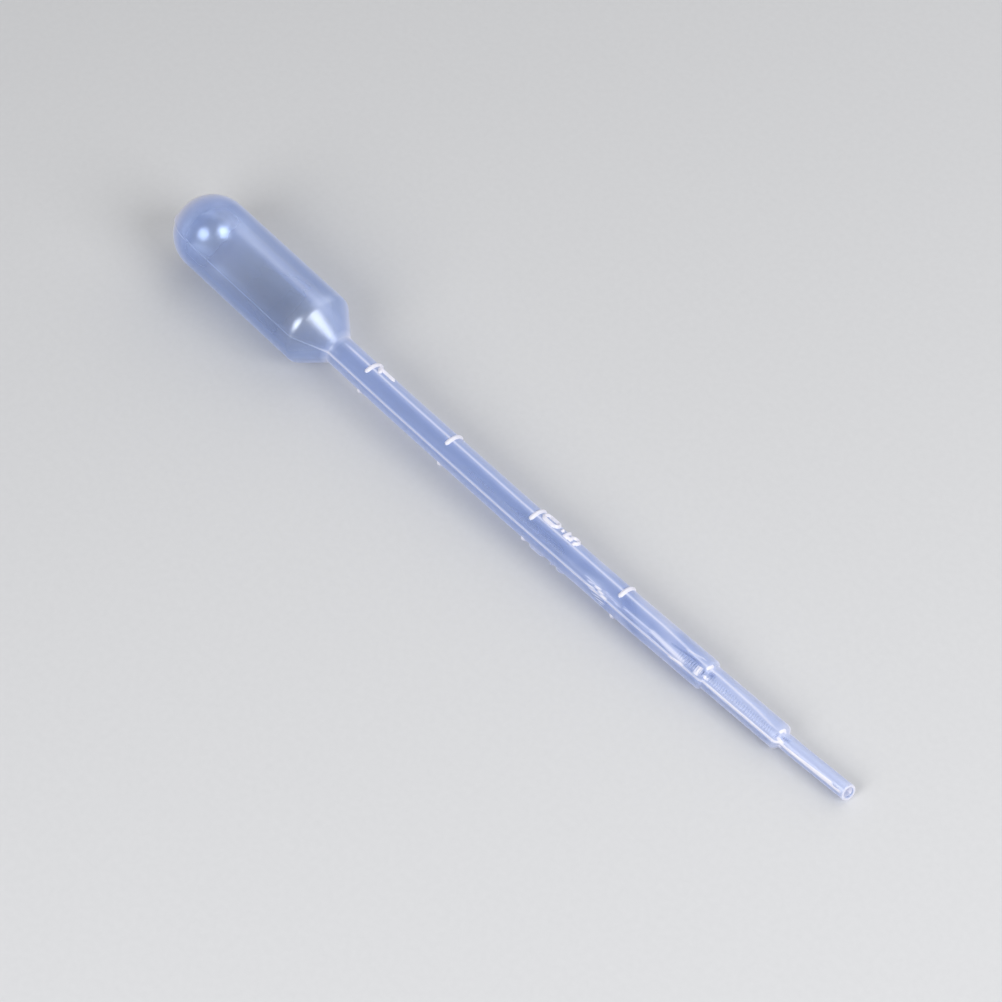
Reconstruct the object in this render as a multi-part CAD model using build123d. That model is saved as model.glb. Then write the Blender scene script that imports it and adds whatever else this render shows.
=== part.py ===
"""Plastic dropper pipette: one hollow, blow-moulded piece of low-density polyethylene.

A squeezable bulb with a domed end narrows through a cone into a long graduated stem, and the stem
steps down twice to a fine open tip. The tube is built along X from the end of the dome. It has
taken a slight set: the stem is bowed, and the tip is bent a little more.

Angles about the tube are measured from +Z towards +Y, with the tip pointing along +X. The finished
piece is rolled and tilted to lie on the plane z = 0 the way it comes to rest.
Millimetres and degrees throughout.
"""
from build123d import *
from math import asin, atan2, cos, degrees, hypot, radians, sin, tan
import os

# Bulb and shoulder
BULB_DIAMETER = 13.5
BULB_LENGTH = 33.6            # end of the dome to the unrounded corner of the shoulder
BULB_WALL = 0.45
DOME_END_WALL = 0.6
SHOULDER_HALF_ANGLE = 37.8    # between the cone and the axis
SHOULDER_RADIUS = 1.8
SHOULDER_WALL = 0.6

# Stem, from the neck to the unrounded corner of the first step
STEM_DIAMETER = 5.35
STEM_BORE = 4.05
STEM_LENGTH = 84.4

# Middle length, from the first step to the second
MIDDLE_DIAMETER = 4.36
MIDDLE_BORE = 3.15
MIDDLE_LENGTH = 15.0

# Tip, from the second step to the middle of its cut end
TIP_DIAMETER = 2.7
TIP_BORE = 1.6
TIP_LENGTH = 13.4
TIP_CUT_ANGLE = 20.0          # by which the cut is out of square
TIP_CUT_SIDE = 0.0            # the side of the tube that the cut faces
TIP_RIM_RADIUS = 0.18
TIP_RIM_SHARE = 0.42          # of the thinnest wall, the most that one rounding takes

# Each step is a short cone with a rounded outer corner
STEP_HALF_ANGLE = 55.0
STEP_CORNER_RADIUS = 0.85
STEP_WALL = 0.6

# A blown wall is never quite even: the cavity lies a little off the centre line
WALL_SHIFT = 0.1
THIN_SIDE_ANGLE = 9.0         # the side of the tube with the thinnest wall

# The set in the tube, all of it towards +Y
STEM_BOW = 2.05               # turn between the neck and the first step
STEM_BENDS = 3                # even, gentle bends that the bow is made of
STEM_BEND_LENGTH = 3.0
TIP_BEND = 1.45               # turn just below the second step
TIP_BEND_LENGTH = 4.0
STRAIGHT_LEAD = 1.5           # straight length kept below the neck and on both sides of the steps

# Mould halves, whose parting plane holds the axis
FIRST_HALF_ANGLE = 56.0       # middle of the half that carries the first set of marks
HALF_MISMATCH = 0.25          # by which the second half's marks lie nearer the tip
FLASH_WIDTH = 0.16
FLASH_HEIGHT = 0.07
PINCH_OFF_RADIUS = 0.45       # of the rounded weld bead across the end of the dome
PINCH_OFF_HEIGHT = 0.25
PINCH_OFF_HALF_SPAN = 42.0    # to each side of the end of the dome

# Graduation: raised arcs at each quarter of a millilitre, and two raised numbers
FIRST_MARK_FROM_NECK = 7.7
MARK_SPACINGS = [19.2, 19.4, 19.7]
MARK_HALF_SPAN = 48.0
MARK_RADIUS = 0.34            # of the rounded bead
MARK_HEIGHT = 0.3
STROKE_WIDTH = 0.6            # of the numbers
STROKE_HEIGHT = 0.27
NUMBER_GAP = 0.7              # from the middle of a mark to the top of its number
ONE_HEIGHT = 3.7
NOUGHT_HEIGHT = 3.7
NOUGHT_WIDTH = 2.2
FIVE_HEIGHT = 3.0
FIVE_WIDTH = 2.0
FIVE_BOWL_FROM = -150.0       # angle at which the round of the 5 begins
FIVE_BOWL_SPAN = 280.0
FIVE_SLANT = 0.8              # top of the 5's upright, as a share of its half-width
POINT_DIAMETER = 0.65
POINT_SPACE = 1.3             # between the nought and the five

# The side of the tube that lies uppermost at rest, opposite the centre of mass
REST_UP_ANGLE = 25.6

bulb_radius = BULB_DIAMETER / 2
stem_radius = STEM_DIAMETER / 2
middle_radius = MIDDLE_DIAMETER / 2
tip_radius = TIP_DIAMETER / 2
shoulder_slope = tan(radians(SHOULDER_HALF_ANGLE))
step_slope = tan(radians(STEP_HALF_ANGLE))
neck_x = BULB_LENGTH + (bulb_radius - stem_radius) / shoulder_slope
second_half_angle = FIRST_HALF_ANGLE + 180
flash_angle = FIRST_HALF_ANGLE - 90


# ---- directions and stations along the bent centre line ----
def radial(angle):
    """Unit vector square to X, at an angle from +Z towards +Y."""
    return Vector(0, sin(radians(angle)), cos(radians(angle)))


def onward(start, length, turn=0.0):
    """The station reached from `start` along its X, turning evenly towards +Y by `turn` degrees."""
    if turn == 0:
        return start * Location((length, 0, 0))
    bend_radius = length / radians(turn)
    to_centre = Location((0, bend_radius, 0))
    return start * to_centre * Location((0, 0, 0), (0, 0, turn)) * to_centre.inverse()


def course(start, lengths_and_turns):
    """The runs of a bent tube, each as its start, length and turn."""
    runs = []
    for length, turn in lengths_and_turns:
        runs.append((start, length, turn))
        start = onward(start, length, turn)
    return runs


def end_of(runs):
    return onward(*runs[-1])


bow_length = STEM_LENGTH - 2 * STRAIGHT_LEAD
between_bends = bow_length / STEM_BENDS - STEM_BEND_LENGTH
one_bend = [(between_bends / 2, 0), (STEM_BEND_LENGTH, STEM_BOW / STEM_BENDS), (between_bends / 2, 0)]

stem_runs = course(Location((neck_x + STRAIGHT_LEAD, 0, 0)), one_bend * STEM_BENDS)
first_step = onward(end_of(stem_runs), STRAIGHT_LEAD)
tip_start = onward(first_step, MIDDLE_LENGTH + STRAIGHT_LEAD)
bend_end = onward(tip_start, TIP_BEND_LENGTH, TIP_BEND)
last_length = TIP_LENGTH - STRAIGHT_LEAD - TIP_BEND_LENGTH
tip_end = onward(bend_end, last_length)


def on_stem(distance):
    """The station on the stem at a distance below the neck."""
    left = distance - STRAIGHT_LEAD
    for start, length, turn in stem_runs:
        if left <= length:
            return onward(start, left, turn * left / length)
        left -= length
    return onward(end_of(stem_runs), left)


# ---- solids of revolution and lengths of tube ----
def lathe(points, corner_radii):
    """The solid turned about X under (x, radius) points; `corner_radii` rounds points by index."""
    edges = []
    here = Vector(*points[0])
    for index in range(1, len(points)):
        corner = Vector(*points[index])
        radius = corner_radii.get(index, 0)
        if radius == 0:
            edges.append(Line(here, corner))
            here = corner
            continue
        back = (Vector(*points[index - 1]) - corner).normalized()
        ahead = (Vector(*points[index + 1]) - corner).normalized()
        half = radians(back.get_angle(ahead) / 2)
        middle = (back + ahead).normalized()
        start = corner + back * (radius / tan(half))
        end = corner + ahead * (radius / tan(half))
        edges.append(Line(here, start))
        edges.append(ThreePointArc(start, corner + middle * (radius / sin(half) - radius), end))
        here = end
    edges.append(Line(here, Vector(*points[0])))
    return revolve(make_face(edges), Axis.X)


def disc(radius):
    return Plane.YZ * Circle(radius)


def carried(section, start, length, turn=0):
    """A section in the YZ plane, carried along the centre line from `start`."""
    if turn == 0:
        return start * extrude(section, length, dir=(1, 0, 0))
    return start * revolve(section, Axis((0, length / radians(turn), 0), (0, 0, 1)), turn)


def tube_runs(stem_section, tip_section, past_tip):
    """The lengths of stem and tip between the turned pieces, ending past the end of the tip."""
    runs = [carried(stem_section, *run) for run in stem_runs]
    runs.append(carried(tip_section, tip_start, TIP_BEND_LENGTH, TIP_BEND))
    runs.append(carried(tip_section, bend_end, last_length + past_tip))
    return runs


def domed_end(radius, centre_x):
    """The ball that rounds off the closed end of the bulb."""
    return Sphere(radius).moved(Location((centre_x, 0, 0)))


# ---- the outer form, which `skin` makes thicker all over ----
def outer_form(skin):
    radius = bulb_radius + skin
    shoulder_shift = skin * tan(radians(SHOULDER_HALF_ANGLE / 2))
    step_shift = skin * tan(radians(STEP_HALF_ANGLE / 2))
    bulb = lathe(
        [
            (bulb_radius, 0),
            (bulb_radius, radius),
            (BULB_LENGTH + shoulder_shift, radius),
            (neck_x + shoulder_shift, stem_radius + skin),
            (neck_x + STRAIGHT_LEAD, stem_radius + skin),
            (neck_x + STRAIGHT_LEAD, 0),
        ],
        {2: SHOULDER_RADIUS + skin},
    )
    first_foot = (stem_radius - middle_radius) / step_slope + step_shift
    second_foot = MIDDLE_LENGTH + (middle_radius - tip_radius) / step_slope + step_shift
    middle = lathe(
        [
            (-STRAIGHT_LEAD, 0),
            (-STRAIGHT_LEAD, stem_radius + skin),
            (step_shift, stem_radius + skin),
            (first_foot, middle_radius + skin),
            (MIDDLE_LENGTH + step_shift, middle_radius + skin),
            (second_foot, tip_radius + skin),
            (MIDDLE_LENGTH + STRAIGHT_LEAD, tip_radius + skin),
            (MIDDLE_LENGTH + STRAIGHT_LEAD, 0),
        ],
        {2: STEP_CORNER_RADIUS, 4: STEP_CORNER_RADIUS},
    )
    runs = tube_runs(disc(stem_radius + skin), disc(tip_radius + skin), past_tip=tip_radius)
    return domed_end(radius, bulb_radius) + bulb + (first_step * middle) + runs


# ---- the cavity ----
def cavity_form():
    aside = Pos(*(radial(THIN_SIDE_ANGLE) * WALL_SHIFT))
    bore_radius = STEM_BORE / 2
    middle_bore_radius = MIDDLE_BORE / 2
    tip_bore_radius = TIP_BORE / 2
    inside_radius = bulb_radius - BULB_WALL
    dome_centre = DOME_END_WALL + inside_radius

    cone_inset = SHOULDER_WALL / cos(radians(SHOULDER_HALF_ANGLE))
    cone_top = neck_x - (inside_radius - stem_radius + cone_inset) / shoulder_slope
    cone_foot = neck_x - (bore_radius - stem_radius + cone_inset) / shoulder_slope
    inner_bulb = lathe(
        [
            (dome_centre, 0),
            (dome_centre, inside_radius),
            (cone_top, inside_radius),
            (cone_foot, bore_radius),
            (neck_x + STRAIGHT_LEAD, bore_radius),
            (neck_x + STRAIGHT_LEAD, 0),
        ],
        {2: SHOULDER_RADIUS - SHOULDER_WALL},
    )
    step_inset = STEP_WALL / cos(radians(STEP_HALF_ANGLE))
    first_top = -(bore_radius - stem_radius + step_inset) / step_slope
    first_foot = first_top + (bore_radius - middle_bore_radius) / step_slope
    second_top = MIDDLE_LENGTH - (middle_bore_radius - middle_radius + step_inset) / step_slope
    second_foot = second_top + (middle_bore_radius - tip_bore_radius) / step_slope
    inside_corner = STEP_CORNER_RADIUS - STEP_WALL
    inner_middle = lathe(
        [
            (-STRAIGHT_LEAD, 0),
            (-STRAIGHT_LEAD, bore_radius),
            (first_top, bore_radius),
            (first_foot, middle_bore_radius),
            (second_top, middle_bore_radius),
            (second_foot, tip_bore_radius),
            (MIDDLE_LENGTH + STRAIGHT_LEAD, tip_bore_radius),
            (MIDDLE_LENGTH + STRAIGHT_LEAD, 0),
        ],
        {2: inside_corner, 4: inside_corner},
    )
    ends = aside * (domed_end(inside_radius, dome_centre) + inner_bulb)
    runs = tube_runs(aside * disc(bore_radius), aside * disc(tip_bore_radius), past_tip=2 * tip_radius)
    return ends + (first_step * aside * inner_middle) + runs


# ---- the parting line's flash ----
def flash_form():
    """The thin ridge that the parting plane leaves all round, as far as the bend in the tip."""
    strip = Plane.YZ * Rectangle(3 * BULB_DIAMETER, FLASH_WIDTH)
    strip = strip.rotate(Axis.X, 90 - flash_angle)
    sheet = [carried(strip, *run) for run in stem_runs]
    sheet.append(carried(strip, Location((-bulb_radius, 0, 0)), bulb_radius + neck_x + STRAIGHT_LEAD))
    sheet.append(carried(strip, end_of(stem_runs), MIDDLE_LENGTH + 2 * STRAIGHT_LEAD))
    sheet.append(carried(strip, tip_start, TIP_BEND_LENGTH, TIP_BEND))
    return outer_form(FLASH_HEIGHT) & (sheet[0] + sheet[1:])


# ---- raised marks and numbers ----
def half_ball(radius, centre, outward):
    """A rounded end, whose flat side meets the flat end of a bead."""
    return Plane(origin=centre, z_dir=outward).location * Sphere(radius, arc_size1=0)


def bead_arc(ring_radius, bead_radius, middle_angle, half_span):
    """A rounded bead round the X axis at X = 0, with rounded ends."""
    first = middle_angle + half_span
    last = middle_angle - half_span
    start = radial(first) * ring_radius
    section = Plane(origin=start, x_dir=(1, 0, 0), z_dir=radial(first + 90)) * Circle(bead_radius)
    return revolve(section, Axis.X, 2 * half_span) + [
        half_ball(bead_radius, start, radial(first + 90)),
        half_ball(bead_radius, radial(last) * ring_radius, radial(last - 90)),
    ]


def graduation_mark(distance, half_angle):
    """The mark on one mould half, at a distance below the neck."""
    ring_radius = stem_radius + MARK_HEIGHT - MARK_RADIUS
    return on_stem(distance) * bead_arc(ring_radius, MARK_RADIUS, half_angle, MARK_HALF_SPAN)


def drawn(*edges):
    """Strokes of even width with round ends, in a number's own plane."""
    strokes = [trace(edge, STROKE_WIDTH) for edge in edges]
    ends = [Pos(*edge.position_at(at)) * Circle(STROKE_WIDTH / 2) for edge in edges for at in (0, 1)]
    return strokes[0] + strokes[1:] + ends


def one():
    """The number 1, hanging down from the origin of its plane."""
    top = -STROKE_WIDTH / 2
    upright = Line((0, top), (0, top + STROKE_WIDTH - ONE_HEIGHT))
    flag = Line((0, top), (-STROKE_WIDTH, top - STROKE_WIDTH))
    return drawn(upright, flag)


def nought():
    """The number 0, hanging down from the origin of its plane."""
    outline = SlotOverall(NOUGHT_HEIGHT, NOUGHT_WIDTH, rotation=90)
    counter = SlotOverall(NOUGHT_HEIGHT - 2 * STROKE_WIDTH, NOUGHT_WIDTH - 2 * STROKE_WIDTH, rotation=90)
    return Pos(0, -NOUGHT_HEIGHT / 2) * (outline - counter)


def five():
    """The number 5, hanging down from the origin of its plane."""
    right = (FIVE_WIDTH - STROKE_WIDTH) / 2
    bowl_centre = (0, STROKE_WIDTH / 2 + right - FIVE_HEIGHT)
    bowl = CenterArc(bowl_centre, right, FIVE_BOWL_FROM, FIVE_BOWL_SPAN)
    top_left = (-FIVE_SLANT * right, -STROKE_WIDTH / 2)
    upright = Line(bowl.position_at(1), top_left)
    flag = Line(top_left, (right, -STROKE_WIDTH / 2))
    return drawn(bowl, upright, flag)


def nought_point_five():
    point = Pos(0, -NOUGHT_HEIGHT - POINT_SPACE / 2) * Circle(POINT_DIAMETER / 2)
    return nought() + point + Pos(0, -NOUGHT_HEIGHT - POINT_SPACE) * five()


def raised_number(number, distance, half_angle):
    """A number standing on the stem, upright with the bulb uppermost, its top below a mark."""
    outward = Plane(origin=(0, 0, 0), x_dir=radial(half_angle + 90), z_dir=radial(half_angle))
    pillar = outward.location * extrude(number, STEM_DIAMETER)
    room = 2 * STEM_DIAMETER
    face = carried(disc(stem_radius + STROKE_HEIGHT), Location((-room / 2, 0, 0)), 2 * room)
    return on_stem(distance + NUMBER_GAP) * (pillar & face)


def marks_and_numbers():
    distances = [FIRST_MARK_FROM_NECK]
    for spacing in MARK_SPACINGS:
        distances.append(distances[-1] + spacing)
    raised = []
    for half_angle, shift in ((FIRST_HALF_ANGLE, 0), (second_half_angle, HALF_MISMATCH)):
        raised += [graduation_mark(distance + shift, half_angle) for distance in distances]
        raised.append(raised_number(one(), distances[0] + shift, half_angle))
        raised.append(raised_number(nought_point_five(), distances[2] + shift, half_angle))
    return raised


def pinch_off():
    """The weld bead that the closing mould leaves across the end of the dome."""
    ring_radius = bulb_radius + PINCH_OFF_HEIGHT - PINCH_OFF_RADIUS
    bead = bead_arc(ring_radius, PINCH_OFF_RADIUS, 0, PINCH_OFF_HALF_SPAN)
    across = Plane(origin=(bulb_radius, 0, 0), x_dir=radial(flash_angle + 90), z_dir=(-1, 0, 0))
    return across.location * bead


# ---- the cut end and the way the piece lies ----
def cut_tip(solid):
    """The tip cut off a little out of square, with both edges of its rim rounded."""
    square = Vector(1, 0, 0) * cos(radians(TIP_CUT_ANGLE))
    lean = radial(TIP_CUT_SIDE) * sin(radians(TIP_CUT_ANGLE))
    cut = tip_end * Plane(origin=(0, 0, 0), z_dir=square + lean).location
    room = 4 * TIP_DIAMETER
    waste = cut * Box(room, room, room, align=(Align.CENTER, Align.CENTER, Align.MIN))
    trimmed = solid - waste
    rim = trimmed.faces().filter_by(GeomType.PLANE).sort_by_distance(tip_end.position)[0]
    thinnest_wall = (TIP_DIAMETER - TIP_BORE) / 2 - WALL_SHIFT
    return fillet(rim.edges(), min(TIP_RIM_RADIUS, TIP_RIM_SHARE * thinnest_wall))


def underside_corner(station, radius, corner_radius):
    """X and Z of the centre of a rounded corner, on the underside of the rolled piece."""
    axis_point = (Rotation(REST_UP_ANGLE, 0, 0) * station).position
    return axis_point.X, axis_point.Z - (radius - corner_radius)


def lying(solid):
    """The piece rolled and tilted to rest on the shoulder and the second step, on z = 0."""
    shoulder_reach = SHOULDER_RADIUS * tan(radians(SHOULDER_HALF_ANGLE / 2))
    step_reach = STEP_CORNER_RADIUS * tan(radians(STEP_HALF_ANGLE / 2))
    shoulder = Location((BULB_LENGTH - shoulder_reach, 0, 0))
    step = onward(first_step, MIDDLE_LENGTH - step_reach)
    near_x, near_z = underside_corner(shoulder, bulb_radius, SHOULDER_RADIUS)
    far_x, far_z = underside_corner(step, middle_radius, STEP_CORNER_RADIUS)
    run = far_x - near_x
    rise = far_z - near_z
    tilt = degrees(atan2(rise, run) + asin((SHOULDER_RADIUS - STEP_CORNER_RADIUS) / hypot(run, rise)))
    laid = Rotation(0, tilt, 0) * Rotation(REST_UP_ANGLE, 0, 0) * solid
    bounds = laid.bounding_box()
    middle = bounds.center()
    return Pos(-middle.X, -middle.Y, -bounds.min.Z) * laid, tilt


# ---- the finished piece ----
raised = [flash_form(), pinch_off()] + marks_and_numbers()
pipette, rest_tilt = lying(cut_tip(outer_form(0) + raised - cavity_form()))

os.makedirs("parts", exist_ok=True)
export_step(pipette, "parts/pipette.step")
print("pipette: volume", round(pipette.volume, 1), "mm3, rest tilt", round(rest_tilt, 2), "degrees")
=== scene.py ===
"""Plastic dropper pipette: the visual model, its material, floor, lights and camera.

The pipette is one moulded piece of low-density polyethylene, so it is one mesh: the outer skin, the
rim of the tip and the wall of the cavity, all built as rings of points round the bent centre line.
A ring is placed by `at`, its distance along the centre line from the end of the dome. Angles round
the tube are measured from the side that faces up before the piece is rolled, towards the side that
it bows to. Sizes are in millimetres up to laid(), where they become metres in the frame's own axes.
"""

from math import atan2, cos, hypot, pi, radians, sin, tan

import bpy
import numpy as np
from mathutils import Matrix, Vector


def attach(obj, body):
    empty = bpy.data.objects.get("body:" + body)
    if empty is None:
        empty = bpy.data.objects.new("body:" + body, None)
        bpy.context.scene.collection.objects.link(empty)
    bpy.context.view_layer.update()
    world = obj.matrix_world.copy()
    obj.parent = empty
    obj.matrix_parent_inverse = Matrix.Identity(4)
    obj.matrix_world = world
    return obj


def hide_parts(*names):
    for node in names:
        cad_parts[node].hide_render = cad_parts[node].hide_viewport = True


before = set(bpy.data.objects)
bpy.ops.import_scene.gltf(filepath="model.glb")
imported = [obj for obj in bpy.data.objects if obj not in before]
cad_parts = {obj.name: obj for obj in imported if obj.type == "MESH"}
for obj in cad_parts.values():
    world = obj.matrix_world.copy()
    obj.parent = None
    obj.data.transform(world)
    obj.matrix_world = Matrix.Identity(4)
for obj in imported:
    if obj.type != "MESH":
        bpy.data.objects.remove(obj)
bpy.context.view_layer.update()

# ---- sizes of the piece ----
BULB_RADIUS = 6.75
BULB_LENGTH = 33.6
BULB_WALL = 0.45
DOME_END_WALL = 0.6
SHOULDER_HALF_ANGLE = radians(37.8)
SHOULDER_RADIUS = 1.8
SHOULDER_WALL = 0.6
NECK_RADIUS = 0.5            # the hollow corner where the cone meets the stem
STEM_RADIUS = 2.675
STEM_BORE_RADIUS = 2.025
STEM_LENGTH = 84.4
MIDDLE_RADIUS = 2.18
MIDDLE_BORE_RADIUS = 1.575
MIDDLE_LENGTH = 15.0
TIP_RADIUS = 1.35
TIP_BORE_RADIUS = 0.8
TIP_LENGTH = 13.4
TIP_CUT = radians(20)
CUT_BLEND = 4.0              # how far before the end the rings start to lean like the cut
RIM_RADIUS = 0.18
STEP_HALF_ANGLE = radians(55)
STEP_CORNER_RADIUS = 0.85
STEP_WALL = 0.6
FOOT_RADIUS = 0.12           # the hollow corner at the foot of each step

# The cavity's own rounded corners, and how far it lies off the centre line
CAVITY_SHOULDER_RADIUS = 2.6
CAVITY_NECK_RADIUS = 0.7
CAVITY_STEP_RADIUS = 0.25
WALL_SHIFT = 0.1
THIN_SIDE = radians(9)

# The set in the tube
STEM_BOW = radians(2.05)
STEM_BENDS = 3
STEM_BEND_LENGTH = 3.0
TIP_BEND = radians(1.45)
TIP_BEND_LENGTH = 4.0
STRAIGHT_LEAD = 1.5

# Mould halves: the first carries the marks that face up, the second lies a little further along
FIRST_HALF = radians(56)
HALF_MISMATCH = 0.25
FLASH_HALF_WIDTH = 0.11
FLASH_HEIGHT = 0.07
PINCH_RADIUS = 0.45
PINCH_HEIGHT = 0.25
PINCH_HALF_SPAN = radians(42)
FIRST_MARK = 7.7
MARK_SPACINGS = (19.2, 19.4, 19.7)
MARK_HALF_SPAN = radians(42)
MARK_RADIUS = 0.40
MARK_HEIGHT = 0.3
STROKE_HALF_WIDTH = 0.31
STROKE_HEIGHT = 0.45
NUMBER_GAP = 0.7
NUMBER_LENGTHS = {0: 4.1, 2: 8.1}    # of "1" and "0.5", by the mark that each stands below
NUMBER_HALF_SPAN = 1.2

# How the piece lies
ROLL = radians(25.6)
TILT = radians(2.976)
DOME_END_AT = (-75.7856, 0.0, 8.4568)

second_half = FIRST_HALF + pi
near_seam = FIRST_HALF - pi / 2
far_seam = FIRST_HALF + pi / 2
neck = BULB_LENGTH + (BULB_RADIUS - STEM_RADIUS) / tan(SHOULDER_HALF_ANGLE)
first_step = neck + STEM_LENGTH
second_step = first_step + MIDDLE_LENGTH
tip_end = second_step + TIP_LENGTH
marks = neck + FIRST_MARK + np.concatenate([[0], np.cumsum(MARK_SPACINGS)])
uneven_from = marks[2] + 5.0         # from here to the middle length the blown wall is uneven


# ---- the bent centre line ----
def centre_line():
    """Where each straight or bent run starts: distance, x, y, heading, and turn per millimetre."""
    bow_length = STEM_LENGTH - 2 * STRAIGHT_LEAD
    half_gap = (bow_length / STEM_BENDS - STEM_BEND_LENGTH) / 2
    runs = [(neck + STRAIGHT_LEAD, 0.0)]
    for _ in range(STEM_BENDS):
        runs += [(half_gap, 0.0), (STEM_BEND_LENGTH, STEM_BOW / STEM_BENDS), (half_gap, 0.0)]
    runs.append((MIDDLE_LENGTH + 2 * STRAIGHT_LEAD, 0.0))
    runs.append((TIP_BEND_LENGTH, TIP_BEND))
    runs.append((TIP_LENGTH, 0.0))
    rows = []
    distance = x = y = heading = 0.0
    for length, turn in runs:
        rows.append((distance, x, y, heading, turn / length))
        if turn == 0:
            x += length * cos(heading)
            y += length * sin(heading)
        else:
            bend = length / turn
            x += bend * (sin(heading + turn) - sin(heading))
            y += bend * (cos(heading) - cos(heading + turn))
        heading += turn
        distance += length
    return np.array(rows)


LINE = centre_line()


def station(distance):
    """Points (x, y) and headings of the centre line, one for each distance."""
    run = np.clip(np.searchsorted(LINE[:, 0], distance, side="right") - 1, 0, len(LINE) - 1)
    start, x, y, heading, rate = LINE[run].T
    gone = distance - start
    bent = rate * gone
    straight = np.abs(rate) < 1e-12
    safe = np.where(straight, 1.0, rate)
    on_bend = (np.sin(heading + bent) - np.sin(heading)) / safe
    along = np.where(straight, gone * np.cos(heading), on_bend)
    on_bend = (np.cos(heading) - np.cos(heading + bent)) / safe
    aside = np.where(straight, gone * np.sin(heading), on_bend)
    return x + along, y + aside, heading + bent


def laid(points):
    """Points of the straight frame rolled, tilted and set down as the piece lies, in metres."""
    x, y, z = points[..., 0], points[..., 1], points[..., 2]
    y, z = y * cos(ROLL) - z * sin(ROLL), y * sin(ROLL) + z * cos(ROLL)
    x, z = x * cos(TILT) + z * sin(TILT), z * cos(TILT) - x * sin(TILT)
    return (np.stack([x, y, z], -1) + DOME_END_AT) / 1000


# ---- profiles: rows of distance, radius and the outward normal's two parts ----
WIDE_ARC = 0.5               # corners with a greater radius take the finer of the two steps
FINE_STEP, COARSE_STEP = radians(11), radians(20)


def rounded(points, radii, spacing):
    """Rows along a path of (distance, radius) corners, rounded, at about the spacing asked for."""
    rows = []

    def straight(a, b):
        length = hypot(b[0] - a[0], b[1] - a[1])
        normal = (-(b[1] - a[1]) / length, (b[0] - a[0]) / length)
        gone = 0.0
        while gone < length - 1e-9:
            share = gone / length
            rows.append((a[0] + (b[0] - a[0]) * share, a[1] + (b[1] - a[1]) * share, *normal))
            gone += min(spacing(rows[-1][0]), max(length - gone, 1e-6))
        return normal

    here = points[0]
    for index in range(1, len(points) - 1):
        corner, after = points[index], points[index + 1]
        back = np.array(points[index - 1], float) - corner
        ahead = np.array(after, float) - corner
        back /= np.hypot(*back)
        ahead /= np.hypot(*ahead)
        half = np.arccos(np.clip(back @ ahead, -1, 1)) / 2
        radius = radii[index]
        reach = radius / tan(half)
        start, end = corner + back * reach, corner + ahead * reach
        normal = straight(here, start)
        centre = corner + (back + ahead) / np.hypot(*(back + ahead)) * radius / sin(half)
        outward = 1 if (start - centre) @ normal > 0 else -1
        first = atan2(*(start - centre)[::-1])
        last = atan2(*(end - centre)[::-1])
        turn = (last - first + pi) % (2 * pi) - pi
        steps = max(2, int(np.ceil(abs(turn) / (FINE_STEP if radius > WIDE_ARC else COARSE_STEP))))
        for step in range(steps):
            angle = first + turn * step / steps
            normal = (outward * cos(angle), outward * sin(angle))
            place = (centre[0] + radius * cos(angle), centre[1] + radius * sin(angle))
            rows.append((*place, *normal))
        here = tuple(end)
    straight(here, points[-1])
    return rows


def domed(radius, centre, angles):
    """Rows over the domed end, from beside its pole to the start of the cylinder."""
    return [(centre - radius * cos(a), radius * sin(a), -cos(a), sin(a)) for a in angles]


# Gaps between the outer skin's rings
PINCH_ARCS = np.arange(0.09, 0.56, 0.078)    # over the pinch-off bead, as arcs from the pole
PAST_PINCH = 0.02                            # radians from the last of those to the dome's others
DOME_ROWS = 34
BULB_GAP = 1.2
STEM_GAP = 0.8
END_GAP = 0.7                                # on the middle length and the tip
NUMBER_ROW_GAP = 0.115
MARK_ROW_GAP = 0.065
LEAST_GAP = 0.03
BEFORE_MARK, PAST_MARK = 0.48, 0.42          # how far round a mark its close rings reach
MARK_START = 0.47                            # the ring before a mark lands this far from it


def outer_rows():
    """Rows of the outer skin, closest over the pinch-off bead, the marks and the numbers."""
    pinch = PINCH_ARCS / BULB_RADIUS
    rest = np.linspace(pinch[-1] + PAST_PINCH, pi / 2, DOME_ROWS)[:-1]
    rows = domed(BULB_RADIUS, BULB_RADIUS, np.concatenate([pinch, rest]))

    def spacing(at):
        if at < neck:
            return BULB_GAP
        for index, mark in enumerate(marks):
            if mark - BEFORE_MARK < at < mark + HALF_MISMATCH + PAST_MARK:
                return MARK_ROW_GAP
            long = NUMBER_LENGTHS.get(index)
            if long and mark < at < mark + NUMBER_GAP + long:
                return NUMBER_ROW_GAP
        if at >= first_step:
            return END_GAP
        ahead = [mark - MARK_START - at for mark in marks if mark - MARK_START > at]
        return max(LEAST_GAP, min([STEM_GAP] + ahead))

    step = tan(STEP_HALF_ANGLE)
    points = [
        (BULB_RADIUS, BULB_RADIUS),
        (BULB_LENGTH, BULB_RADIUS),
        (neck, STEM_RADIUS),
        (first_step, STEM_RADIUS),
        (first_step + (STEM_RADIUS - MIDDLE_RADIUS) / step, MIDDLE_RADIUS),
        (second_step, MIDDLE_RADIUS),
        (second_step + (MIDDLE_RADIUS - TIP_RADIUS) / step, TIP_RADIUS),
        (tip_end - RIM_RADIUS, TIP_RADIUS),
    ]
    at_step = [STEP_CORNER_RADIUS, FOOT_RADIUS]
    return rows + rounded(points, [0, SHOULDER_RADIUS, NECK_RADIUS, *at_step, *at_step], spacing)


# Gaps between the cavity's rings
CAVITY_POLE_ANGLE = 0.06
CAVITY_DOME_ROWS = 18
CAVITY_BULB_GAP = 1.4
CAVITY_STEM_GAP = 2.0
CAVITY_UNEVEN_GAP = 0.46
CAVITY_END_GAP = 0.8


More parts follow.
